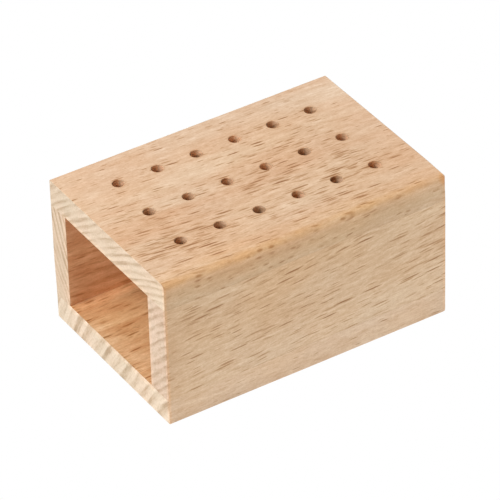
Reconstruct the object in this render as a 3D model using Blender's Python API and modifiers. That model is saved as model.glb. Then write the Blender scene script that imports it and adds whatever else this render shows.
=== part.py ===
"""Tool storage caddy: a small beech box tunnel for model making tools.

Four plain boards are glued into a rectangular tube that is open at both ends.
The top and bottom boards run over the full width and the two side boards stand
between them (butt joints).  The top board has three rows of six through holes,
in which slim tools stand with their tips on the bottom board; bigger tools lie
in the compartment below.

Units are metres.  +Z is up, +Y runs along the grain from the front opening to
the back, +X is right, and the origin is at the centre of the footprint, on the
table.
"""

from math import radians

import bmesh
import bpy

# ---------------------------------------------------------------- box
LENGTH = 0.1000  # along Y, the grain direction of all four boards
WIDTH = 0.0660   # along X
HEIGHT = 0.0512  # along Z

TOP_THICKNESS = 0.00915
BOTTOM_THICKNESS = 0.00870
LEFT_THICKNESS = 0.00845   # side board at -X
RIGHT_THICKNESS = 0.00975  # side board at +X
GLUE_LINE = 0.0001         # gap for the glue film in each of the four joints

LEFT, RIGHT = -WIDTH / 2, WIDTH / 2
FRONT, BACK = -LENGTH / 2, LENGTH / 2
FLOOR = BOTTOM_THICKNESS          # upper face of the bottom board
CEILING = HEIGHT - TOP_THICKNESS  # lower face of the top board
SIDE_LOW = FLOOR + GLUE_LINE
SIDE_HIGH = CEILING - GLUE_LINE

# ---------------------------------------------------------------- tool holes
HOLE_DIAMETER = 0.0039
HOLE_SEGMENTS = 32
HOLE_ROWS = 3      # rows across the width (X)
HOLES_PER_ROW = 6  # holes along the length (Y)
FIRST_HOLE_FROM_LEFT = 0.0135
FIRST_HOLE_FROM_FRONT = 0.01635
ROW_PITCH = 0.0178
HOLE_PITCH = 0.01383
CUTTER_OVERSHOOT = 0.004  # past each face of the top board

# ---------------------------------------------------------------- eased edges
# Hand-sanded arrises of the glued box; they differ from edge to edge.
TOP_RIGHT_RADIUS = 0.0022  # long edges, along Y
TOP_LEFT_RADIUS = 0.0003
BOTTOM_RIGHT_RADIUS = 0.0003
BOTTOM_LEFT_RADIUS = 0.0020
FRONT_RADIUS = 0.00025     # round the front end face
BACK_RADIUS = 0.0003       # top and sides of the back end face
BACK_FOOT_RADIUS = 0.0018  # lower edge of the back end face
# Width of the Bevel modifier; each edge's weight is its radius as a share of this.
WIDEST_RADIUS = max(
    TOP_RIGHT_RADIUS, TOP_LEFT_RADIUS, BOTTOM_RIGHT_RADIUS, BOTTOM_LEFT_RADIUS,
    FRONT_RADIUS, BACK_RADIUS, BACK_FOOT_RADIUS,
)
BEVEL_SEGMENTS = 4
ROUND_PROFILE = 0.5  # circular bevel section
SHARP_ANGLE = radians(35)  # steeper edges are shaded sharp
TOLERANCE = 1e-6     # for matching a corner to a face of the box


# ---------------------------------------------------------------- scene
def clear_scene():
    for obj in list(bpy.data.objects):
        bpy.data.objects.remove(obj, do_unlink=True)
    for collection in list(bpy.data.collections):
        bpy.data.collections.remove(collection)


def new_collection(name):
    collection = bpy.data.collections.new(name)
    bpy.context.scene.collection.children.link(collection)
    return collection


def move_to(obj, collection):
    for old in list(obj.users_collection):
        old.objects.unlink(obj)
    collection.objects.link(obj)


def beech(name, colour, roughness):
    """A plain matt wood; colour is linear RGB."""
    material = bpy.data.materials.new(name)
    material.use_nodes = True
    shader = material.node_tree.nodes["Principled BSDF"]
    shader.inputs["Base Color"].default_value = (*colour, 1.0)
    shader.inputs["Roughness"].default_value = roughness
    shader.inputs["Metallic"].default_value = 0.0
    material.diffuse_color = (*colour, 1.0)
    return material


# ---------------------------------------------------------------- boards
def near(a, b):
    return abs(a - b) < TOLERANCE


def edge_radius(start, end):
    """Rounding of the edge between two corners, in world coordinates.

    Only the outer arrises of the box are eased; every joint edge and inner
    edge stays sharp, with radius 0.
    """
    at_side = near(start.x, end.x) and near(abs(start.x), WIDTH / 2)
    at_end = near(start.y, end.y) and near(abs(start.y), LENGTH / 2)
    at_top = near(start.z, end.z) and near(start.z, HEIGHT)
    at_table = near(start.z, end.z) and near(start.z, 0.0)
    is_right = start.x > 0
    is_front = start.y < 0
    if at_side and at_top:
        return TOP_RIGHT_RADIUS if is_right else TOP_LEFT_RADIUS
    if at_side and at_table:
        return BOTTOM_RIGHT_RADIUS if is_right else BOTTOM_LEFT_RADIUS
    if at_end and at_table and not is_front:
        return BACK_FOOT_RADIUS
    if at_end and (at_side or at_top or at_table):
        return FRONT_RADIUS if is_front else BACK_RADIUS
    return 0.0


def ease_edges(obj):
    """Rounds the outer arrises with one Bevel, weighted edge by edge."""
    mesh = obj.data
    weights = mesh.attributes.new("bevel_weight_edge", "FLOAT", "EDGE")
    for edge in mesh.edges:
        start, end = (mesh.vertices[i].co + obj.location for i in edge.vertices)
        weights.data[edge.index].value = edge_radius(start, end) / WIDEST_RADIUS

    bevel = obj.modifiers.new("eased_edges", "BEVEL")
    bevel.limit_method = "WEIGHT"
    bevel.width = WIDEST_RADIUS
    bevel.segments = BEVEL_SEGMENTS
    bevel.profile = ROUND_PROFILE
    bevel.use_clamp_overlap = True


def board(name, x_span, z_span, material, collection):
    """A full-length board with its origin at its centre; spans are (low, high)."""
    spans = (x_span, (FRONT, BACK), z_span)
    centre = [(high + low) / 2 for low, high in spans]
    bpy.ops.mesh.primitive_cube_add(size=1.0, location=centre)
    obj = bpy.context.active_object
    obj.name = name
    obj.data.name = name
    obj.scale = [high - low for low, high in spans]
    bpy.ops.object.transform_apply(location=False, rotation=False, scale=True)
    move_to(obj, collection)

    ease_edges(obj)
    obj.data.materials.append(material)
    obj.data.shade_smooth()
    obj.data.set_sharp_from_angle(angle=SHARP_ANGLE)
    return obj


# ---------------------------------------------------------------- drilling
def hole_centres():
    for row in range(HOLE_ROWS):
        x = LEFT + FIRST_HOLE_FROM_LEFT + row * ROW_PITCH
        for k in range(HOLES_PER_ROW):
            yield x, FRONT + FIRST_HOLE_FROM_FRONT + k * HOLE_PITCH


def hole_cutter(collection):
    """All the tool holes as one hidden object of separate cylinders."""
    bm = bmesh.new()
    for x, y in hole_centres():
        cylinder = bmesh.ops.create_cone(
            bm,
            cap_ends=True,
            cap_tris=False,
            segments=HOLE_SEGMENTS,
            radius1=HOLE_DIAMETER / 2,
            radius2=HOLE_DIAMETER / 2,
            depth=TOP_THICKNESS + 2 * CUTTER_OVERSHOOT,
        )
        centre = (x, y, (CEILING + HEIGHT) / 2)
        bmesh.ops.translate(bm, verts=cylinder["verts"], vec=centre)
    mesh = bpy.data.meshes.new("tool_hole_cutter")
    bm.to_mesh(mesh)
    bm.free()

    cutter = bpy.data.objects.new("tool_hole_cutter", mesh)
    collection.objects.link(cutter)
    cutter.hide_render = True
    cutter.display_type = "WIRE"
    return cutter


def drill(obj, cutter):
    cut = obj.modifiers.new("tool_holes", "BOOLEAN")
    cut.operation = "DIFFERENCE"
    cut.solver = "EXACT"
    cut.object = cutter


# ---------------------------------------------------------------- assembly
clear_scene()
caddy = new_collection("tool_storage_caddy")
cutters = new_collection("cutters")

top_board = board(
    "top_board",
    x_span=(LEFT, RIGHT),
    z_span=(CEILING, HEIGHT),
    material=beech("beech_top", colour=(0.78, 0.55, 0.36), roughness=0.55),
    collection=caddy,
)
drill(top_board, hole_cutter(cutters))

board(
    "bottom_board",
    x_span=(LEFT, RIGHT),
    z_span=(0.0, FLOOR),
    material=beech("beech_bottom", colour=(0.80, 0.60, 0.42), roughness=0.57),
    collection=caddy,
)

board(
    "left_side_board",
    x_span=(LEFT, LEFT + LEFT_THICKNESS),
    z_span=(SIDE_LOW, SIDE_HIGH),
    material=beech("beech_left", colour=(0.77, 0.53, 0.34), roughness=0.56),
    collection=caddy,
)

board(
    "right_side_board",
    x_span=(RIGHT - RIGHT_THICKNESS, RIGHT),
    z_span=(SIDE_LOW, SIDE_HIGH),
    material=beech("beech_right", colour=(0.76, 0.54, 0.36), roughness=0.56),
    collection=caddy,
)
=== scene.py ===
"""Looks of the tool storage caddy: four fine beech boards, studio light, camera."""
import math

import bmesh
import bpy
import numpy as np
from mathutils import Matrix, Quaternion, Vector, noise


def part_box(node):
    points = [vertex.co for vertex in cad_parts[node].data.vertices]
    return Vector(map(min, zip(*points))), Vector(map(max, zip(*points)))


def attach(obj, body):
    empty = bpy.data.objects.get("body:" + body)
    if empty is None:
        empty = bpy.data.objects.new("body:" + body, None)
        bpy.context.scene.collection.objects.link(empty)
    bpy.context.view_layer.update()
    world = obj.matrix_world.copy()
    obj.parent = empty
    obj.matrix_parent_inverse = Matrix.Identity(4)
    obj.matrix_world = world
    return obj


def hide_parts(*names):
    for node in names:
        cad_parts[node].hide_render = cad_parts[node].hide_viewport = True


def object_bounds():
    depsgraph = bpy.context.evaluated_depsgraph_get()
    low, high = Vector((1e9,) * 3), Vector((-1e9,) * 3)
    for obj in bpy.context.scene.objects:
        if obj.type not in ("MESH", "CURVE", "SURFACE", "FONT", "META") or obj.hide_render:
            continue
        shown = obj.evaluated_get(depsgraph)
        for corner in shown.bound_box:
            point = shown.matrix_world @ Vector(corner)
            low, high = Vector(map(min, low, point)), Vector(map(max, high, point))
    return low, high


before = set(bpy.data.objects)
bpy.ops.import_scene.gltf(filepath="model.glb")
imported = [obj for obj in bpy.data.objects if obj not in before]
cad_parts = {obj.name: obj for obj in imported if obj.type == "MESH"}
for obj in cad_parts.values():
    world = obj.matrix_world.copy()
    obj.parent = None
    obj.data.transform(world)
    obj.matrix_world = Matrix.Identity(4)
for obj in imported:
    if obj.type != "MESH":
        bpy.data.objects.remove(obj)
CAD_BOX = [list(v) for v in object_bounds()]

MM = 0.001

# ------------------------------------------------------------------ positions
top_lo, top_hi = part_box("top_board")
bot_lo, bot_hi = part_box("bottom_board")
lef_lo, lef_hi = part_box("left_side_board")
rig_lo, rig_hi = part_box("right_side_board")
X0, X1 = top_lo.x, top_hi.x
Y0, Y1 = top_lo.y, top_hi.y
H = top_hi.z

HOLE_R = 1.95 * MM
HOLES = [
    (X0 + 13.5 * MM + row * 17.8 * MM, Y0 + 16.35 * MM + k * 13.83 * MM)
    for row in range(3)
    for k in range(6)
]

# How much the glue joint shows: the fine boards stand this far apart.
SEAM = 0.03 * MM


# --------------------------------------------------------------- fine meshes
def edge_radius(a, b):
    """Rounding of the outer arrises, as the CAD boards have them; joints stay crisp."""

    def near(p, q):
        return abs(p - q) < 1e-6

    at_side = near(a.x, b.x) and (near(a.x, X0) or near(a.x, X1))
    at_end = near(a.y, b.y) and (near(a.y, Y0) or near(a.y, Y1))
    at_top = near(a.z, b.z) and near(a.z, H)
    at_table = near(a.z, b.z) and near(a.z, 0.0)
    right, front = a.x > 0, a.y < 0
    if at_side and at_top:
        return (2.2 if right else 0.3) * MM
    if at_side and at_table:
        return (0.3 if right else 2.0) * MM
    if at_end and at_table and not front:
        return 1.8 * MM
    if at_end and (at_side or at_top or at_table):
        return (0.25 if front else 0.3) * MM
    return 0.0


def evaluated_mesh(obj, name):
    dg = bpy.context.evaluated_depsgraph_get()
    me = bpy.data.meshes.new_from_object(obj.evaluated_get(dg), depsgraph=dg)
    me.name = name
    return me


def hand_sanded(co):
    """Slow unevenness of a hand-sanded face; one field for all boards, so joints still meet."""
    n = noise.noise_vector(Vector((co.x * 55.0, co.y * 38.0, co.z * 55.0)))
    m = noise.noise_vector(Vector((co.x * 260.0 + 7.0, co.y * 120.0, co.z * 260.0)))
    return n * (0.045 * MM) + m * (0.012 * MM)


def ease01(x, lo, hi):
    t = min(1.0, max(0.0, (x - lo) / (hi - lo)))
    return t * t * (3.0 - 2.0 * t)


def worn(co):
    """The outside of the left wall is sanded back a little towards the table."""
    depth = 0.42 * MM * (1.0 - ease01(co.z, 8 * MM, 25 * MM))
    share = 1.0 - ease01(co.x, X0, X0 + 6 * MM)
    out = Vector((depth * share, 0.0, 0.0))
    # The far right corner of the top is rubbed thin as well.
    rub = 0.25 * MM * ease01(co.x, X1 - 12 * MM, X1) * ease01(co.y, Y1 - 16 * MM, Y1)
    out.y -= rub * ease01(co.z, H - 12 * MM, H)
    return out


def lofted(name, rings_of_points):
    """Closed solids lofted through rings of points, one list of rings per solid."""
    bm = bmesh.new()
    for rings in rings_of_points:
        loops = [[bm.verts.new(p) for p in ring] for ring in rings]
        n = len(loops[0])
        for a, b in zip(loops, loops[1:]):
            for k in range(n):
                bm.faces.new((a[k], a[(k + 1) % n], b[(k + 1) % n], b[k]))
        bm.faces.new(list(reversed(loops[0])))
        bm.faces.new(loops[-1])
    bmesh.ops.recalc_face_normals(bm, faces=bm.faces[:])
    me = bpy.data.meshes.new(name)
    bm.to_mesh(me)
    bm.free()
    return me


def drills():
    """Straight drills; the mouths are barely eased above and a little torn below."""
    solids = []
    z_low, z_high = top_lo.z, top_hi.z
    n = 64
    for i, (x, y) in enumerate(HOLES):
        lip = (0.11 + 0.03 * noise.noise(Vector((i * 3.1, 0.5, 0.2)))) * MM
        torn = (0.24 + 0.08 * noise.noise(Vector((i * 1.7, 4.5, 0.9)))) * MM
        over = 1.0 * MM
        profile = [
            (z_low - over, HOLE_R + over + torn),
            (z_low + torn, HOLE_R),
            (z_high - lip, HOLE_R),
            (z_high + over, HOLE_R + over + lip),
        ]
        solids.append(
            [
                [
                    (
                        x + r * math.cos(2 * math.pi * k / n),
                        y + r * math.sin(2 * math.pi * k / n),
                        z,
                    )
                    for k in range(n)
                ]
                for z, r in profile
            ]
        )
    return lofted("drills", solids)


def mouths(ease=0.10 * MM):
    """Two flared plugs that take the sharp arris off the opening at both ends."""
    xa, xb = lef_hi.x, rig_lo.x
    za, zb = bot_hi.z, top_lo.z
    solids = []
    for y_face, inward in ((Y0, 1.0), (Y1, -1.0)):
        rings = []
        for grow in (-0.06 * MM, ease + 0.6 * MM):
            y = y_face + inward * (ease - grow)
            rings.append(
                [
                    (xa - grow, y, za - grow),
                    (xb + grow, y, za - grow),
                    (xb + grow, y, zb + grow),
                    (xa - grow, y, zb + grow),
                ]
            )
        solids.append(rings)
    return lofted("mouths", solids)


def fine_board(name, lo, hi, drilled=False):
    bm = bmesh.new()
    bmesh.ops.create_cube(bm, size=1.0)
    size = hi - lo
    mid = (hi + lo) / 2
    for v in bm.verts:
        v.co = Vector((v.co.x * size.x, v.co.y * size.y, v.co.z * size.z)) + mid
    layer = bm.edges.layers.float.new("bevel_weight_edge")
    widest = 2.2 * MM
    for e in bm.edges:
        e[layer] = edge_radius(e.verts[0].co, e.verts[1].co) / widest
    me = bpy.data.meshes.new(name + "_cage")
    bm.to_mesh(me)
    bm.free()
    cage = bpy.data.objects.new(name + "_cage", me)
    bpy.context.scene.collection.objects.link(cage)
    bevel = cage.modifiers.new("round", "BEVEL")
    bevel.limit_method = "WEIGHT"
    bevel.width = widest
    bevel.segments = 8
    bpy.context.view_layer.update()
    rounded = evaluated_mesh(cage, name + "_rounded")
    bpy.data.objects.remove(cage)

    # Cross cuts every few millimetres give the sanded faces points to move.
    bm = bmesh.new()
    bm.from_mesh(rounded)
    step = 2.5 * MM
    for axis in range(3):
        n = max(2, int(round(size[axis] / step)))
        for k in range(1, n):
            co = Vector((0, 0, 0))
            co[axis] = lo[axis] + size[axis] * k / n
            no = Vector((0, 0, 0))
            no[axis] = 1.0
            bmesh.ops.bisect_plane(
                bm,
                geom=bm.verts[:] + bm.edges[:] + bm.faces[:],
                plane_co=co,
                plane_no=no,
                dist=1e-7,
            )
    bm.to_mesh(rounded)
    bm.free()
    obj = bpy.data.objects.new(name + "_work", rounded)
    bpy.context.scene.collection.objects.link(obj)
    cutters = [mouths()] + ([drills()] if drilled else [])
    for me in cutters:
        cutter = bpy.data.objects.new(me.name, me)
        bpy.context.scene.collection.objects.link(cutter)
        cut = obj.modifiers.new(me.name, "BOOLEAN")
        cut.operation = "DIFFERENCE"
        cut.solver = "EXACT"
        cut.object = cutter
    bpy.context.view_layer.update()
    final = evaluated_mesh(obj, name)
    for mod in obj.modifiers:
        bpy.data.objects.remove(mod.object)
    bpy.data.objects.remove(obj)

    for v in final.vertices:
        co = v.co + hand_sanded(v.co) + worn(v.co)
        v.co = [min(max(c, lo_c), hi_c) for c, lo_c, hi_c in zip(co, CAD_BOX[0], CAD_BOX[1])]
    final.update()
    piece = bpy.data.objects.new(name, final)
    bpy.context.scene.collection.objects.link(piece)
    final.shade_smooth()
    final.set_sharp_from_angle(angle=math.radians(32))
    wn = piece.modifiers.new("face_weighted", "WEIGHTED_NORMAL")
    wn.keep_sharp = True
    wn.weight = 60
    return piece


seam = Vector((0, 0, SEAM))
z_floor = bot_hi.z
z_ceiling = top_lo.z
top_board = fine_board("beech_top_board", top_lo, top_hi, drilled=True)
bottom_board = fine_board("beech_bottom_board", bot_lo, bot_hi)
left_board = fine_board(
    "beech_left_board",
    Vector((lef_lo.x, lef_lo.y, z_floor + SEAM)),
    Vector((lef_hi.x, lef_hi.y, z_ceiling - SEAM)),
)
right_board = fine_board(
    "beech_right_board",
    Vector((rig_lo.x, rig_lo.y, z_floor + SEAM)),
    Vector((rig_hi.x, rig_hi.y, z_ceiling - SEAM)),
)


# ------------------------------------------------------------ shader helpers
class Nodes:
    """Small helper that writes node maths as function calls."""

    def __init__(self, tree):
        self.t = tree

    def add(self, kind, **props):
        n = self.t.nodes.new(kind)
        for k, v in props.items():
            setattr(n, k, v)
        return n

    def put(self, socket, value):
        if isinstance(value, bpy.types.NodeSocket):
            self.t.links.new(value, socket)
        elif value is not None:
            socket.default_value = value

    def m(self, op, a, b=None, c=None, clamp=False):
        n = self.add("ShaderNodeMath", operation=op, use_clamp=clamp)
        self.put(n.inputs[0], a)
        if b is not None:
            self.put(n.inputs[1], b)
        if c is not None:
            self.put(n.inputs[2], c)
        return n.outputs[0]

    def v(self, op, a, b=None, scale=None):
        n = self.add("ShaderNodeVectorMath", operation=op)
        self.put(n.inputs[0], a)
        if b is not None:
            self.put(n.inputs[1], b)
        if scale is not None:
            self.put(n.inputs["Scale"], scale)
        return n.outputs["Value"] if op in ("DOT_PRODUCT", "LENGTH") else n.outputs[0]

    def xyz(self, x, y, z):
        n = self.add("ShaderNodeCombineXYZ")
        for s, val in zip(n.inputs, (x, y, z)):
            self.put(s, val)
        return n.outputs[0]

    def split(self, vec):
        n = self.add("ShaderNodeSeparateXYZ")
        self.put(n.inputs[0], vec)
        return n.outputs[0], n.outputs[1], n.outputs[2]

    def smooth(self, x, lo, hi, out0=0.0, out1=1.0):
        n = self.add("ShaderNodeMapRange", interpolation_type="SMOOTHSTEP")
        for s, val in zip(n.inputs, (x, lo, hi, out0, out1)):
            self.put(s, val)
        return n.outputs[0]

    def linear(self, x, lo, hi, out0=0.0, out1=1.0):
        n = self.add("ShaderNodeMapRange", interpolation_type="LINEAR")
        for s, val in zip(n.inputs, (x, lo, hi, out0, out1)):
            self.put(s, val)
        return n.outputs[0]

    def noise(self, vec, scale=1.0, detail=2.0, rough=0.5, lac=2.0, colour=False):
        n = self.add("ShaderNodeTexNoise", noise_dimensions="3D")
        self.put(n.inputs["Vector"], vec)
        n.inputs["Scale"].default_value = scale
        n.inputs["Detail"].default_value = detail
        n.inputs["Roughness"].default_value = rough
        n.inputs["Lacunarity"].default_value = lac
        return n.outputs["Color" if colour else "Fac"]

    def voronoi(self, vec, scale=1.0, randomness=1.0):
        n = self.add("ShaderNodeTexVoronoi", voronoi_dimensions="3D", feature="F1")
        self.put(n.inputs["Vector"], vec)
        n.inputs["Scale"].default_value = scale
        n.inputs["Randomness"].default_value = randomness
        return n.outputs["Distance"], n.outputs["Color"]

    def mix(self, fac, a, b, mode="MIX"):
        n = self.add("ShaderNodeMix", data_type="RGBA", blend_type=mode)
        self.put(n.inputs[0], fac)
        self.put(n.inputs[6], (*a, 1.0) if isinstance(a, tuple) else a)
        self.put(n.inputs[7], (*b, 1.0) if isinstance(b, tuple) else b)
        return n.outputs[2]

    def ramp(self, fac, stops):
        n = self.add("ShaderNodeValToRGB")
        el = n.color_ramp.elements
        while len(el) > 1:
            el.remove(el[-1])
        el[0].position = stops[0][0]
        el[0].color = (*stops[0][1], 1.0)
        for pos, col in stops[1:]:
            e = el.new(pos)
            e.color = (*col, 1.0)
        self.put(n.inputs[0], fac)
        return n.outputs[0]


def beech(
    name,
    pith,
    tilt,
    seed,
    ring_mm,
    face_a,
    face_b,
    end_pale,
    inside=None,
    inside_shade_tint=(1.0, 1.0, 1.0),
    inside_far_shade=1.0,
    flank_shading=None,
    dash=1.0,
    dash_size=(1.0, 1.0),
    dash_zone=None,
    ring_end=0.30,
    ring_face=0.04,
    drift=None,
    lining_light=None,
    bored=False,
    flecked=False,
):
    """Beech as one solid block of wood: rings about a pith line, rays, pores.

    Every face shows its own cut through the same block: short dark ray ends on
    the flat-sawn faces, growth rings and pale ray lines on the end grain.
    pith is the pith line's place in the XZ section, in mm; tilt turns the grain
    a few degrees off the board's length.  inside names the normal of the face
    that lines the compartment; that face gets painted shade, darker and redder.
    """
    mat = bpy.data.materials.new(name)
    mat.use_nodes = True
    tree = mat.node_tree
    g = Nodes(tree)
    bsdf = tree.nodes["Principled BSDF"]

    tc = g.add("ShaderNodeTexCoord")
    mm = g.v("SCALE", tc.outputs["Object"], scale=1000.0)
    px, py, pz = g.split(mm)
    turn = g.add("ShaderNodeMapping", vector_type="POINT")
    g.put(turn.inputs["Vector"], mm)
    turn.inputs["Rotation"].default_value = (
        math.radians(tilt[0]),
        0.0,
        math.radians(tilt[1]),
    )
    grain = turn.outputs[0]
    seedv = (seed * 37.3, seed * 11.9, seed * 23.7)

    def around(vec, fx, fy, fz, off=0.0, detail=1.0, rough=0.5, colour=False):
        """Noise in the block, with its own frequency per millimetre on each axis."""
        return g.noise(
            g.v("ADD", g.v("MULTIPLY", vec, (fx, fy, fz)), tuple(c + off for c in seedv)),
            detail=detail,
            rough=rough,
            colour=colour,
        )

    # The grain wanders a little along the board.
    slow = g.v("SUBTRACT", around(grain, 0.016, 0.007, 0.016, colour=True), (0.5, 0.5, 0.5))
    quick = g.v("SUBTRACT", around(grain, 0.12, 0.05, 0.12, 3.0, colour=True), (0.5, 0.5, 0.5))
    p = g.v("ADD", g.v("ADD", grain, g.v("SCALE", slow, scale=7.0)), g.v("SCALE", quick, scale=0.7))
    x, y, z = g.split(p)
    dx = g.m("SUBTRACT", x, pith[0])
    dz = g.m("SUBTRACT", z, pith[1])
    r = g.m("SQRT", g.m("ADD", g.m("MULTIPLY", dx, dx), g.m("MULTIPLY", dz, dz)))
    mean_r = math.hypot(pith[0], pith[1] - 25.0)
    s = g.m("MULTIPLY", g.m("ARCTAN2", dz, dx), mean_r)

    def deepen(colour, shade, green=1.5, blue=2.1):
        """Darker wood is also redder: blue falls faster than red."""
        return g.v(
            "MULTIPLY",
            colour,
            g.xyz(shade, g.m("POWER", shade, green), g.m("POWER", shade, blue)),
        )

    # Which way the surface faces.
    geo = g.add("ShaderNodeNewGeometry")
    nx, ny, nz = g.split(geo.outputs["True Normal"])
    end = g.smooth(g.m("ABSOLUTE", ny), 0.30, 0.68)
    flat = g.m(
        "ABSOLUTE",
        g.m("DIVIDE", g.m("ADD", g.m("MULTIPLY", nx, dx), g.m("MULTIPLY", nz, dz)), r),
    )

    # Growth rings, each a little different from the next.
    wobble = g.noise(g.xyz(g.m("MULTIPLY", r, 0.12), seed * 3.1, 0.5), detail=1.0)
    q = g.m("ADD", g.m("DIVIDE", r, ring_mm), g.m("MULTIPLY", wobble, 1.6))
    ring_no = g.m("FLOOR", q)
    f = g.m("FRACT", q)
    late = g.m("MULTIPLY", g.smooth(f, 0.15, 0.70), g.smooth(f, 0.74, 1.0, 1.0, 0.0))
    pick = g.add("ShaderNodeTexWhiteNoise", noise_dimensions="1D")
    g.put(pick.inputs["W"], g.m("ADD", ring_no, seed * 7.7))
    ring = g.m("MULTIPLY", late, g.linear(pick.outputs["Value"], 0.0, 1.0, 0.35, 1.0))

    # Rays: flat spindles, tall in the radial direction, a few mm along the grain.
    ragged = g.m("SUBTRACT", around(mm, 0.5, 0.5, 0.5, 5.0, detail=1.0), 0.5)
    s_rag = g.m("ADD", s, g.m("MULTIPLY", ragged, 0.18))
    crowd = g.linear(around(p, 0.085, 0.04, 0.085, 9.0), 0.32, 0.68, 0.80, 1.12)
    if dash_zone:
        crowd = g.m("MULTIPLY", crowd, dash_zone(g, px, py, pz))

    def rays(half_w, half_l, tall, reach, off, soft=0.30, least=0.35, absent=0.35):
        vec = g.xyz(
            g.m("DIVIDE", r, tall),
            g.m("DIVIDE", s_rag, half_w / reach),
            g.m("DIVIDE", y, half_l / reach),
        )
        vec = g.v("ADD", vec, (off + seed * 5.3, off * 2.1, seed * 2.9 + off))
        dist, col = g.voronoi(vec, randomness=0.85)
        cr, cg, cb = g.split(col)
        lim = g.m("MULTIPLY", g.m("MULTIPLY", g.linear(cr, 0.0, 1.0, 0.5, 1.0), crowd), reach)
        inside_it = g.smooth(dist, g.m("MULTIPLY", lim, soft), lim, 1.0, 0.0)
        scarce = g.m("SUBTRACT", absent + 0.25, g.m("MULTIPLY", crowd, 0.25))
        here = g.smooth(g.m("SUBTRACT", cb, scarce), -0.03, 0.03)
        depth = g.m("MULTIPLY", here, g.linear(cg, 0.0, 1.0, least, 1.0))
        return g.m("MULTIPLY", inside_it, depth)

    wide, length = dash_size
    large = g.m(
        "MAXIMUM",
        rays(0.33 * wide, 4.1 * length, 20.0, 0.43, 0.0, soft=0.42, absent=0.16),
        rays(0.30 * wide, 3.4 * length, 16.0, 0.42, 7.7, soft=0.40, least=0.30, absent=0.80),
    )
    middle = g.m(
        "MAXIMUM",
        rays(0.27 * wide, 2.6 * length, 12.0, 0.41, 13.7, soft=0.30, absent=0.42),
        rays(0.22 * wide, 1.9 * length, 10.0, 0.40, 21.3, soft=0.28, least=0.25, absent=0.76),
    )
    little = rays(0.17, 1.4, 8.0, 0.38, 29.1, soft=0.2, absent=0.45)
    bright = rays(0.30, 2.6, 14.0, 0.38, 47.3, soft=0.0)

    # Pores and fibres that run with the grain, coarse to fine.
    band = around(p, 0.16, 0.014, 0.16, 11.0, detail=2.0)
    streak = around(p, 0.85, 0.13, 0.85, 13.0, detail=2.0, rough=0.55)
    fibre = around(p, 2.6, 0.35, 2.6, 17.0, detail=2.0, rough=0.6)
    hair = around(p, 9.0, 1.2, 9.0, 19.0, detail=2.0, rough=0.6)
    cloud = around(p, 0.06, 0.02, 0.06, 23.0, detail=2.0)
    fuzz = around(mm, 1.5, 1.5, 1.5, 29.0, detail=3.0, rough=0.65)

    # ---- colour on the long faces
    tone = g.m(
        "ADD",
        g.m("MULTIPLY", g.linear(cloud, 0.3, 0.7), 0.55),
        g.m("MULTIPLY", g.linear(band, 0.3, 0.7), 0.45),
        clamp=True,
    )
    face = g.mix(tone, face_a, face_b)
    if drift is not None:
        near_left, near_right = drift
        face = g.v("MULTIPLY", face, g.mix(g.smooth(px, -31.0, 8.0), near_left, near_right))
        face = g.v("MULTIPLY", face, g.mix(g.smooth(py, 32.0, 48.0), (1.0, 1.0, 1.0), (1.05, 1.06, 1.08)))
    blush = g.linear(around(mm, 0.05, 0.035, 0.05, 37.0, detail=2.0), 0.3, 0.7)
    face = g.v("MULTIPLY", face, g.mix(blush, (1.0, 0.97, 0.93), (1.0, 1.025, 1.06)))
    shade = g.m("SUBTRACT", 1.0, g.m("MULTIPLY", ring, ring_face))
    for layer, swing in ((streak, 0.08), (fibre, 0.09), (hair, 0.05), (fuzz, 0.06)):
        shade = g.m("MULTIPLY", shade, g.linear(layer, 0.25, 0.75, 1.0 - swing, 1.0 + swing))
    shade = g.m("MULTIPLY", shade, g.linear(bright, 0.0, 1.0, 1.0, 1.09))
    seen = g.m("MULTIPLY", g.linear(flat, 0.1, 0.7, 0.6, 1.0), dash)
    dashes = g.m("MAXIMUM", large, g.m("MULTIPLY", middle, 0.75))
    dashes = g.m("MAXIMUM", dashes, g.m("MULTIPLY", little, 0.45))
    dashes = g.m("MULTIPLY", dashes, seen, clamp=True)
    shade = g.m("MULTIPLY", shade, g.m("SUBTRACT", 1.0, g.m("MULTIPLY", dashes, 0.54)))
    face = deepen(face, shade)

    # ---- colour on the end grain
    along = g.noise(g.xyz(g.m("MULTIPLY", r, 1.1), g.m("MULTIPLY", s, 0.14), seed), detail=3.0, rough=0.6)
    lines = g.m("MULTIPLY", ring, g.linear(along, 0.3, 0.62, 0.42, 1.18))
    lines = g.m("MULTIPLY", lines, g.linear(around(mm, 0.13, 0.05, 0.13, 43.0, detail=2.0), 0.35, 0.65, 0.60, 1.15))
    lines = g.m("ADD", lines, g.linear(along, 0.52, 0.78, 0.0, 0.6), clamp=True)
    end_shade = g.m("SUBTRACT", 1.0, g.m("MULTIPLY", lines, ring_end))
    for layer, swing in ((hair, 0.05), (fuzz, 0.11), (cloud, 0.05)):
        end_shade = g.m("MULTIPLY", end_shade, g.linear(layer, 0.25, 0.75, 1.0 - swing, 1.0 + swing))
    end_shade = g.m("MULTIPLY", end_shade, g.linear(large, 0.0, 1.0, 1.0, 1.06))
    end_c = deepen(end_pale, end_shade, 1.25, 1.6)
    pink = g.linear(around(mm, 0.11, 0.05, 0.11, 41.0, detail=2.0), 0.32, 0.68)
    end_c = g.v("MULTIPLY", end_c, g.mix(pink, (0.985, 1.01, 1.01), (1.01, 0.985, 0.975)))

    end_c = g.v("SCALE", end_c, scale=g.linear(px, -33.0, 33.0, 0.975, 1.045))
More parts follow.
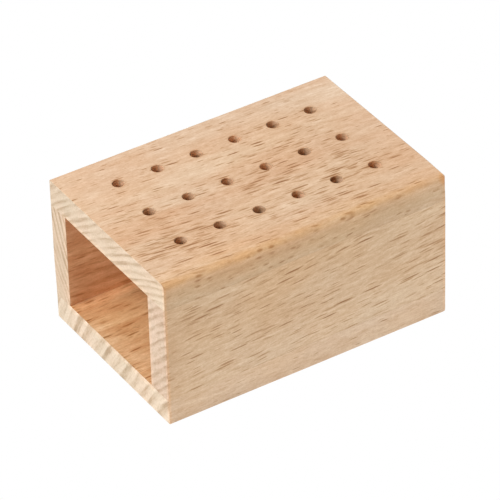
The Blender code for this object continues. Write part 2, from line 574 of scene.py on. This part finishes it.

    # Painted highlight: a pale band about 1 to 2 mm wide round the mouth on the end grain, by the crisp arris.
    off_x = g.m("SUBTRACT", g.m("ABSOLUTE", g.m("SUBTRACT", px, -0.65)), 23.9)
    off_z = g.m("SUBTRACT", g.m("ABSOLUTE", g.m("SUBTRACT", pz, 25.375)), 16.675)
    rim_d = g.m("MAXIMUM", off_x, off_z)
    mouth_highlight = g.m("MULTIPLY", g.smooth(rim_d, 0.9, 1.8, 1.0, 0.0), 0.8)
    end_c = g.mix(mouth_highlight, end_c, g.v("MULTIPLY", end_c, (1.11, 1.07, 1.03)))
    colour = g.mix(end, face, end_c)

    # ---- painted shade in the compartment: the faces that line it are tinted darker and redder
    if inside is not None:
        axis, sign = inside
        towards = g.m("MULTIPLY", (nx, ny, nz)[axis], sign)
        lining = g.smooth(towards, 0.8, 0.95)
        # Painted shade: on some boards the lining grows darker further into the compartment.
        depth = g.linear(g.m("ABSOLUTE", py), 50.0, 15.0, 1.0, inside_far_shade)
        shaded_lining = g.v("SCALE", g.v("MULTIPLY", colour, inside_shade_tint), scale=depth)
        stripe = g.linear(around(p, 0.55, 0.05, 0.55, 53.0, detail=3.0), 0.33, 0.67)
        shaded_lining = g.v("MULTIPLY", shaded_lining, g.mix(stripe, (0.89, 0.78, 0.68), (1.08, 1.13, 1.14)))
        # Painted light laid over the painted shade, on the floor and the left wall.
        if lining_light is not None:
            shaded_lining = g.v("MULTIPLY", shaded_lining, lining_light(g, px, py, pz))
        colour = g.mix(lining, colour, shaded_lining)

    # Painted shade on the faces turned to the right: tinted darker, fading out near the top arris, and darker still
    # toward the front end.
    if flank_shading is not None:
        flank = g.smooth(nx, 0.6, 0.9)
        flank_shading_fade = g.smooth(pz, 47.0, 50.4, 1.0, 0.25)
        colour = g.mix(g.m("MULTIPLY", flank, flank_shading_fade), colour, g.v("MULTIPLY", colour, flank_shading(g, px, py, pz)))
        front = g.m("MULTIPLY", flank, g.smooth(py, -50.0, -38.0, 1.0, 0.0))
        colour = g.mix(front, colour, g.v("MULTIPLY", colour, (0.955, 0.925, 0.90)))

    # ---- short round flecks where the cut crosses the rays near the pith side
    if flecked:
        at = g.v("ADD", g.v("MULTIPLY", mm, (0.10, 0.24, 0.62)), g.v("SCALE", quick, scale=0.5))
        fleck_d, fleck_c = g.voronoi(g.v("ADD", at, seedv))
        fr, fg_, fb_ = g.split(fleck_c)
        size = g.linear(fr, 0.0, 1.0, 0.26, 0.44)
        fleck = g.smooth(fleck_d, g.m("MULTIPLY", size, 0.30), size, 1.0, 0.0)
        fleck = g.m("MULTIPLY", g.m("MULTIPLY", fleck, g.smooth(fb_, 0.42, 0.48)), g.linear(fg_, 0.0, 1.0, 0.35, 1.0))
        fleck = g.m("MULTIPLY", fleck, g.smooth(nx, 0.45, 0.75))
        colour = deepen(colour, g.m("SUBTRACT", 1.0, g.m("MULTIPLY", fleck, 0.34)))

    # ---- painted shade of the rounded upper right arris: a warmer, darker band along it that fades toward the back; the far upper right corner is darker.
    ex = g.m("SUBTRACT", px, 33.0)
    ez = g.m("SUBTRACT", pz, 51.2)
    edge_d = g.m("SQRT", g.m("ADD", g.m("MULTIPLY", ex, ex), g.m("MULTIPLY", ez, ez)))
    blotch = g.linear(around(mm, 0.25, 0.12, 0.25, 31.0, detail=3.0), 0.3, 0.7, 0.55, 1.2)
    edge_shade_and_burnish = g.m(
        "ADD",
        g.m("MULTIPLY", g.smooth(edge_d, 3.0, 10.0, 1.0, 0.0), 0.35),
        g.m("MULTIPLY", g.smooth(edge_d, 0.6, 3.0, 1.0, 0.0), 0.65),
    )
    edge_shade_and_burnish = g.m("MULTIPLY", edge_shade_and_burnish, g.smooth(py, 8.0, 46.0, 1.0, 0.70))
    corner_d = g.v("LENGTH", g.v("SUBTRACT", mm, (33.0, 50.0, 50.0)))
    corner = g.smooth(corner_d, 0.9, 2.9, 1.0, 0.0)
    edge_shade_and_burnish = g.m("ADD", edge_shade_and_burnish, g.m("MULTIPLY", corner, 0.9))
    edge_shade_and_burnish = g.m("MULTIPLY", g.m("MULTIPLY", edge_shade_and_burnish, blotch), g.m("SUBTRACT", 1.0, g.m("MULTIPLY", end, 0.7)), clamp=True)
    colour = g.mix(edge_shade_and_burnish, colour, g.v("MULTIPLY", colour, (1.02, 0.90, 0.69)))
    colour = g.mix(corner, colour, g.v("MULTIPLY", colour, (0.88, 0.76, 0.66)))

    # Painted highlight: the upright arrises on that side get a thin lighter, warmer line.
    ey = g.m("SUBTRACT", g.m("ABSOLUTE", py), 50.0)
    upright_d = g.m("SQRT", g.m("ADD", g.m("MULTIPLY", ex, ex), g.m("MULTIPLY", ey, ey)))
    upright = g.smooth(upright_d, 0.35, 1.2, 1.0, 0.0)
    colour = g.mix(upright, colour, g.v("MULTIPLY", colour, (1.09, 1.015, 0.95)))

    # ---- painted light and shade in the bores, and a faint darker ring round each mouth
    if bored:
        def nearest(c, first, pitch, count):
            k = g.m("ROUND", g.m("DIVIDE", g.m("SUBTRACT", c, first), pitch))
            k = g.m("MINIMUM", g.m("MAXIMUM", k, 0.0), count - 1.0)
            return g.m("SUBTRACT", g.m("SUBTRACT", c, first), g.m("MULTIPLY", k, pitch))

        hx = nearest(px, HOLES[0][0] * 1000, 17.8, 3)
        hy = nearest(py, HOLES[0][1] * 1000, 13.83, 6)
        hole_d = g.m("SQRT", g.m("ADD", g.m("MULTIPLY", hx, hx), g.m("MULTIPLY", hy, hy)))
        wall = g.m(
            "MULTIPLY",
            g.smooth(g.m("ABSOLUTE", nz), 0.35, 0.8, 1.0, 0.0),
            g.smooth(hole_d, 2.2, 2.4, 1.0, 0.0),
        )
        swirl = g.noise(g.xyz(px, py, g.m("MULTIPLY", pz, 4.0)), scale=0.8, detail=2.0)
        # Painted shade: the side of each hole turned away from the light is dark, and darker deeper down; the
        # opposite side gets painted light.
        shadow_side = g.m(
            "DIVIDE",
            g.m("ADD", g.m("MULTIPLY", hx, -0.52), g.m("MULTIPLY", hy, -0.85)),
            2.0,
        )
        deep = g.smooth(pz, 47.8, 51.2, 1.0, 0.0)
        bore_shade = g.m("ADD", g.smooth(shadow_side, -0.80, 0.95, 0.0, 0.8), g.m("MULTIPLY", deep, 0.2), clamp=True)
        bore_lit_and_shaded = g.mix(bore_shade, g.v("MULTIPLY", colour, (1.15, 0.96, 0.83)), g.v("MULTIPLY", colour, (0.63, 0.45, 0.31)))
        which = g.add("ShaderNodeTexWhiteNoise", noise_dimensions="2D")
        g.put(which.inputs["Vector"], g.xyz(g.m("ROUND", g.m("SUBTRACT", px, hx)), g.m("ROUND", g.m("SUBTRACT", py, hy)), 0.0))
        bore_lit_and_shaded = g.v("SCALE", bore_lit_and_shaded, scale=g.linear(swirl, 0.3, 0.7, 0.8, 1.2))
        bore_lit_and_shaded = g.v("SCALE", bore_lit_and_shaded, scale=g.linear(which.outputs["Value"], 0.0, 1.0, 1.0, 1.34))
        rim = g.m("MULTIPLY", g.smooth(hole_d, 2.0, 2.7, 1.0, 0.0), 0.55)
        colour = g.mix(rim, colour, g.v("MULTIPLY", colour, (0.86, 0.74, 0.62)))
        colour = g.mix(wall, colour, bore_lit_and_shaded)

    g.put(bsdf.inputs["Base Color"], colour)

    rough = g.linear(fibre, 0.25, 0.75, 0.50, 0.62)
    rough = g.m("ADD", rough, g.m("MULTIPLY", end, 0.14))
    rough = g.m("SUBTRACT", rough, g.m("MULTIPLY", dashes, 0.06))
    # The band along the upper right arris is also a little glossier, as burnished wood is.
    rough = g.m("SUBTRACT", rough, g.m("MULTIPLY", edge_shade_and_burnish, 0.08))
    g.put(bsdf.inputs["Roughness"], rough)
    bsdf.inputs["Specular IOR Level"].default_value = 0.22

    height = g.m("ADD", g.m("MULTIPLY", fibre, 0.6), g.m("MULTIPLY", hair, 0.5))
    height = g.m("SUBTRACT", height, g.m("MULTIPLY", dashes, 0.3))
    height = g.m("SUBTRACT", height, g.m("MULTIPLY", g.m("MULTIPLY", lines, end), 0.2))
    bump = g.add("ShaderNodeBump")
    bump.inputs["Strength"].default_value = 0.45
    bump.inputs["Distance"].default_value = 0.00007
    g.put(bump.inputs["Height"], height)
    g.put(bsdf.inputs["Normal"], bump.outputs[0])
    return mat


def floor_light_beside_left_wall(g, px, py, pz):
    """Painted light on the floor: a pale band along the left wall, strongest away from the ends, and paler, greyer
    light toward the mouths and the right; a little painted shade near the ends beside the wall.
    """
    strip = g.smooth(px, -23.1, -19.2, 1.0, 0.0)
    deep = g.m("MULTIPLY", g.smooth(py, -48.0, -34.0), g.smooth(py, 34.0, 48.0, 1.0, 0.3))
    pale = g.m("ADD", 1.0, g.m("MULTIPLY", strip, g.m("ADD", 0.15, g.m("MULTIPLY", deep, 0.62))))
    pale = g.xyz(pale, g.m("POWER", pale, 1.25), g.m("POWER", pale, 1.5))
    corner = g.m("MULTIPLY", g.smooth(g.m("ABSOLUTE", py), 32.0, 44.0), g.smooth(px, -19.0, -11.0, 1.0, 0.0))
    pale = g.v("MULTIPLY", pale, g.mix(corner, (1.0, 1.0, 1.0), (0.985, 0.92, 0.90)))
    mouth = g.m("MULTIPLY", g.smooth(g.m("ABSOLUTE", py), 41.0, 50.0), g.smooth(px, -18.0, -9.0))
    mouth = g.m("ADD", mouth, g.m("MULTIPLY", g.smooth(px, 1.0, 14.0), 0.8), clamp=True)
    return g.v("MULTIPLY", pale, g.mix(mouth, (1.0, 1.0, 1.0), (1.08, 1.17, 1.31)))


def lower_left_wall_light(g, px, py, pz):
    # Painted light on the left wall's lining: lighter away from the ends, at mid height and most of all low down by
    # the floor; a little painted shade toward the top.
    inward = g.m("MULTIPLY", g.smooth(py, -48.0, -36.0), g.smooth(py, 36.0, 48.0, 1.0, 0.0))
    low = g.smooth(pz, 9.2, 15.6, 1.0, 0.0)
    middle = g.m("MULTIPLY", g.smooth(pz, 12.0, 18.0), g.smooth(pz, 27.0, 34.0, 1.0, 0.0))
    pale = g.m("ADD", 1.04, g.m("MULTIPLY", inward, 0.16))
    pale = g.m("ADD", pale, g.m("MULTIPLY", middle, 0.055))
    pale = g.m("SUBTRACT", pale, g.m("MULTIPLY", g.smooth(pz, 29.0, 38.0), 0.035))
    pale = g.m("ADD", pale, g.m("MULTIPLY", low, g.m("ADD", 0.10, g.m("MULTIPLY", inward, 0.25))))
    return g.xyz(pale, g.m("POWER", pale, 1.45), g.m("POWER", pale, 1.8))


def top_zone(g, px, py, pz):
    """The flat-sawn middle of the top shows most ray ends."""
    rise = g.smooth(px, -11.0, 4.5, 0.76, 1.29)
    fall = g.smooth(px, 15.0, 27.0, 1.0, 0.84)
    edge = g.smooth(px, 30.0, 32.6, 1.0, 0.72)
    back = g.m("MULTIPLY", g.smooth(py, 30.0, 44.0, 1.0, 0.60), g.smooth(py, -49.0, -38.0, 0.90, 1.0))
    return g.m("MULTIPLY", g.m("MULTIPLY", rise, fall), g.m("MULTIPLY", back, edge))


def right_zone(g, px, py, pz):
    return g.smooth(pz, 8.0, 30.0, 0.86, 1.08)


def top_flank_shading(g, px, py, pz):
    # Painted shade on the top board's right edge face: darker and warmer, a touch less so toward the back.
    return g.mix(g.smooth(py, 30.0, 48.0), (0.81, 0.81, 0.75), (0.82, 0.82, 0.765))


def right_flank_shading(g, px, py, pz):
    """Painted light and shade on the right face: darker and yellower at half height, lighter and greyer low down
    where the floor's light reaches, lighter and greyer toward the back and a little darker toward the front.
    """
    tint = g.mix(g.smooth(pz, 11.0, 27.0), (0.94, 0.98, 1.01), (0.885, 0.875, 0.845))
    tint = g.mix(g.smooth(pz, 31.0, 43.0), tint, (0.905, 0.905, 0.87))
    tint = g.v("MULTIPLY", tint, g.mix(g.smooth(py, -46.0, -14.0), (0.975, 0.972, 0.965), (1.0, 1.0, 1.0)))
    return g.v("MULTIPLY", tint, g.mix(g.smooth(py, 28.0, 47.0), (1.0, 1.0, 1.0), (1.045, 1.055, 1.075)))


def bottom_flank_shading(g, px, py, pz):
    # Painted shade on the bottom board's right edge face: darker, less so toward the back end.
    tint = g.mix(g.smooth(py, -46.0, -8.0), (0.915, 0.935, 0.94), (0.94, 0.95, 0.95))
    return g.v("MULTIPLY", tint, g.mix(g.smooth(py, 16.0, 40.0), (1.0, 1.0, 1.0), (1.035, 1.055, 1.075)))


def bottom_zone(g, px, py, pz):
    """The flank of the bottom board is plainer than its upper face."""
    return g.smooth(px, 28.0, 32.9, 1.15, 0.58)


mats = {
    "top": beech(
        "beech_top", pith=(90.0, -80.0), tilt=(-2.0, 2.5), seed=1.0, ring_mm=2.4,
        face_a=(0.735, 0.445, 0.265), face_b=(0.825, 0.600, 0.410), end_pale=(0.603, 0.482, 0.366),
        inside=(2, -1.0), inside_shade_tint=(0.90, 0.72, 0.52), dash_zone=top_zone, bored=True, flecked=True,
        drift=((1.0, 1.05, 1.11), (0.96, 0.97, 0.98)),
        ring_end=0.34, flank_shading=top_flank_shading,
    ),
    "bottom": beech(
        "beech_bottom", pith=(92.0, -60.0), tilt=(-2.0, -2.0), seed=2.0, ring_mm=4.2,
        face_a=(0.760, 0.535, 0.360), face_b=(0.810, 0.605, 0.425), end_pale=(0.640, 0.525, 0.408),
        inside=(2, 1.0), inside_shade_tint=(0.885, 0.755, 0.575), lining_light=floor_light_beside_left_wall, dash_zone=bottom_zone, ring_end=0.385,
        flank_shading=bottom_flank_shading, inside_far_shade=0.82,
    ),
    "left": beech(
        "beech_left", pith=(90.0, 88.0), tilt=(3.0, 2.0), seed=3.0, ring_mm=2.2,
        face_a=(0.735, 0.488, 0.308), face_b=(0.790, 0.575, 0.388), end_pale=(0.594, 0.458, 0.339),
        inside=(0, 1.0), inside_shade_tint=(0.845, 0.648, 0.524), lining_light=lower_left_wall_light, ring_end=0.34, dash=0.55,
    ),
    "right": beech(
        "beech_right", pith=(150.0, -105.0), tilt=(-4.0, 0.0), seed=4.0, ring_mm=2.3,
        face_a=(0.735, 0.500, 0.315), face_b=(0.790, 0.575, 0.385), end_pale=(0.556, 0.422, 0.320),
        inside=(0, -1.0), inside_shade_tint=(0.90, 0.72, 0.52), dash_zone=right_zone,
        dash_size=(1.0, 1.35), flank_shading=right_flank_shading, ring_end=0.345,
    ),
}

for piece, node, key, slot in (
    (top_board, "top_board", "top", "beech_top"),
    (bottom_board, "bottom_board", "bottom", "beech_bottom"),
    (left_board, "left_side_board", "left", "beech_left"),
    (right_board, "right_side_board", "right", "beech_right"),
):
    piece.data.materials.clear()
    piece.data.materials.append(mats[key])
    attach(piece, "root")
    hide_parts(node)


# ---------------------------------------------------------------- the studio
def area_light(name, loc, target, size, power, colour):
    data = bpy.data.lights.new(name, "AREA")
    data.shape = "RECTANGLE"
    data.size, data.size_y = size
    data.energy = power
    data.color = colour
    ob = bpy.data.objects.new(name, data)
    ob.location = loc
    aim = Vector(target) - Vector(loc)
    ob.rotation_mode = "QUATERNION"
    ob.rotation_quaternion = aim.to_track_quat("-Z", "Y")
    bpy.context.scene.collection.objects.link(ob)
    return ob


area_light("key", (-0.10, -0.70, 0.78), (0, 0, 0.02), (0.45, 0.45), 8.2, (1.0, 0.985, 0.96))

world = bpy.data.worlds.new("studio")
bpy.context.scene.world = world
world.use_nodes = True
wt = world.node_tree
wt.nodes.clear()
wg = Nodes(wt)
out = wg.add("ShaderNodeOutputWorld")
ambient = wg.add("ShaderNodeBackground")
ambient.inputs["Color"].default_value = (1.0, 0.99, 0.975, 1.0)
wtc = wg.add("ShaderNodeTexCoord")
_, _, height = wg.split(wtc.outputs["Generated"])
wg.put(ambient.inputs["Strength"], wg.linear(height, 0.0, 1.0, 0.62, 0.42))
white = wg.add("ShaderNodeBackground")
white.inputs["Color"].default_value = (1, 1, 1, 1)
white.inputs["Strength"].default_value = 1.0
lp = wg.add("ShaderNodeLightPath")
mixw = wg.add("ShaderNodeMixShader")
wt.links.new(lp.outputs["Is Camera Ray"], mixw.inputs[0])
wt.links.new(ambient.outputs[0], mixw.inputs[1])
wt.links.new(white.outputs[0], mixw.inputs[2])
wt.links.new(mixw.outputs[0], out.inputs[0])

# Pale seamless floor; it glows a little, so only the contact shadow shows.
bpy.ops.mesh.primitive_plane_add(size=6.0, location=(0, 0, -0.00005))
floor = bpy.context.active_object
floor.name = "studio_floor"
fmat = bpy.data.materials.new("studio_floor")
fmat.use_nodes = True
ft = fmat.node_tree
fb = ft.nodes["Principled BSDF"]
fb.inputs["Base Color"].default_value = (0.6, 0.6, 0.6, 1)
fb.inputs["Roughness"].default_value = 0.9
fb.inputs["Specular IOR Level"].default_value = 0.1
fg = Nodes(ft)
fb.inputs["Emission Color"].default_value = (1, 1, 1, 1)
# The table is lit from below, most of all beside the long outer wall.
ftc = fg.add("ShaderNodeTexCoord")
beside = fg.v("LENGTH", fg.v("SUBTRACT", ftc.outputs["Object"], (0.10, 0.0, 0.0)))
fg.put(fb.inputs["Emission Strength"], fg.m("ADD", 0.62, fg.smooth(beside, 0.0, 0.11, 0.25, 0.0)))
# Seen directly it is plain white, as the backdrop is.
flp = fg.add("ShaderNodeLightPath")
paper = fg.add("ShaderNodeEmission")
paper.inputs["Color"].default_value = (1, 1, 1, 1)
paper.inputs["Strength"].default_value = 1.0
fmix = fg.add("ShaderNodeMixShader")
ft.links.new(flp.outputs["Is Camera Ray"], fmix.inputs[0])
ft.links.new(fb.outputs[0], fmix.inputs[1])
ft.links.new(paper.outputs[0], fmix.inputs[2])
fout = next(n for n in ft.nodes if n.type == "OUTPUT_MATERIAL")
ft.links.new(fmix.outputs[0], fout.inputs["Surface"])
floor.data.materials.append(fmat)

# ---------------------------------------------------------------- the camera
cam_data = bpy.data.cameras.new("camera")
cam_data.sensor_width = 36.0
cam_data.lens = 303.18
cam_data.clip_start = 0.01
cam_data.clip_end = 20.0
cam = bpy.data.objects.new("camera", cam_data)
cam.location = (0.88717, -0.54393, 0.78069)
cam.rotation_mode = "QUATERNION"
cam.rotation_quaternion = Quaternion((0.784177, 0.392552, 0.227773, 0.423188))
bpy.context.scene.collection.objects.link(cam)
bpy.context.scene.camera = cam

view = bpy.context.scene.view_settings
view.view_transform = "Standard"
view.look = "None"
view.exposure = 0.0
view.gamma = 1.0
